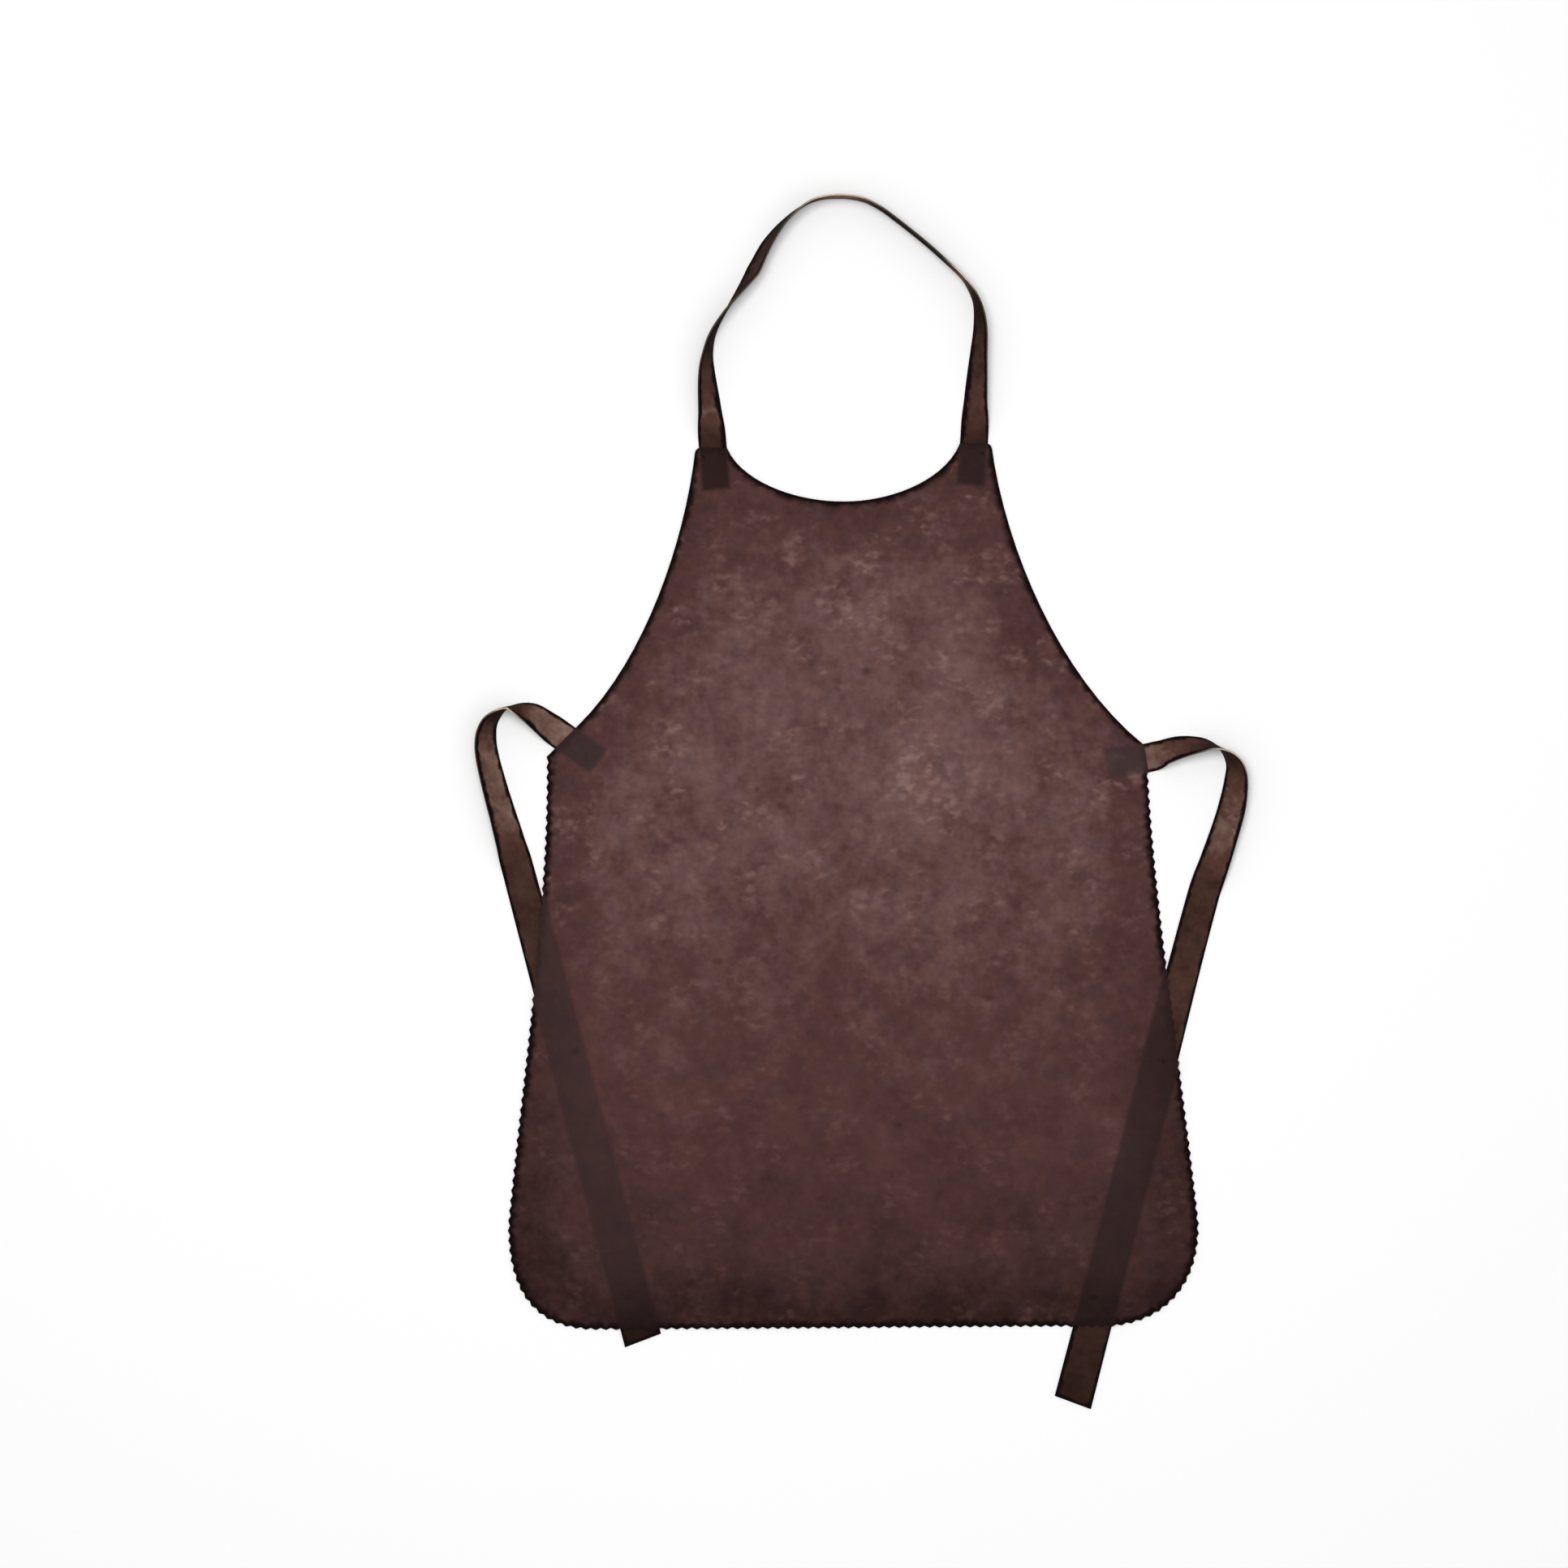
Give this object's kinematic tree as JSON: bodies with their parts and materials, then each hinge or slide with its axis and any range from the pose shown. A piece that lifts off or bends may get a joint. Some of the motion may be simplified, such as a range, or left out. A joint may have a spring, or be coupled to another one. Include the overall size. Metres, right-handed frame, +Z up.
{
  "type": "bib apron",
  "caption": "Bib apron of thin dark leather lying on its back, pinked round the skirt, with a slack neck loop and waist ties spread beside it.",
  "frame": {"origin": "on the panel's underside, where it rests, on the skirt's midline and halfway from the hem to the top of the bib", "axes": "+X to the right as the apron is looked down on, +Y from the hem towards the bib, +Z up from the surface it lies on"},
  "size_m": [0.6643, 1.0453, 0.0258],
  "materials": {
    "panel_leather": "dark red-brown nubuck, mottled, with darkened edges",
    "strap_leather": "brown nubuck, a little lighter than the panel, with dark cut edges"
  },
  "bodies": {
    "root": {"panel": "panel_leather", "neck_strap": "strap_leather", "left_tie": "strap_leather", "right_tie": "strap_leather"}
  },
  "joints": []
}
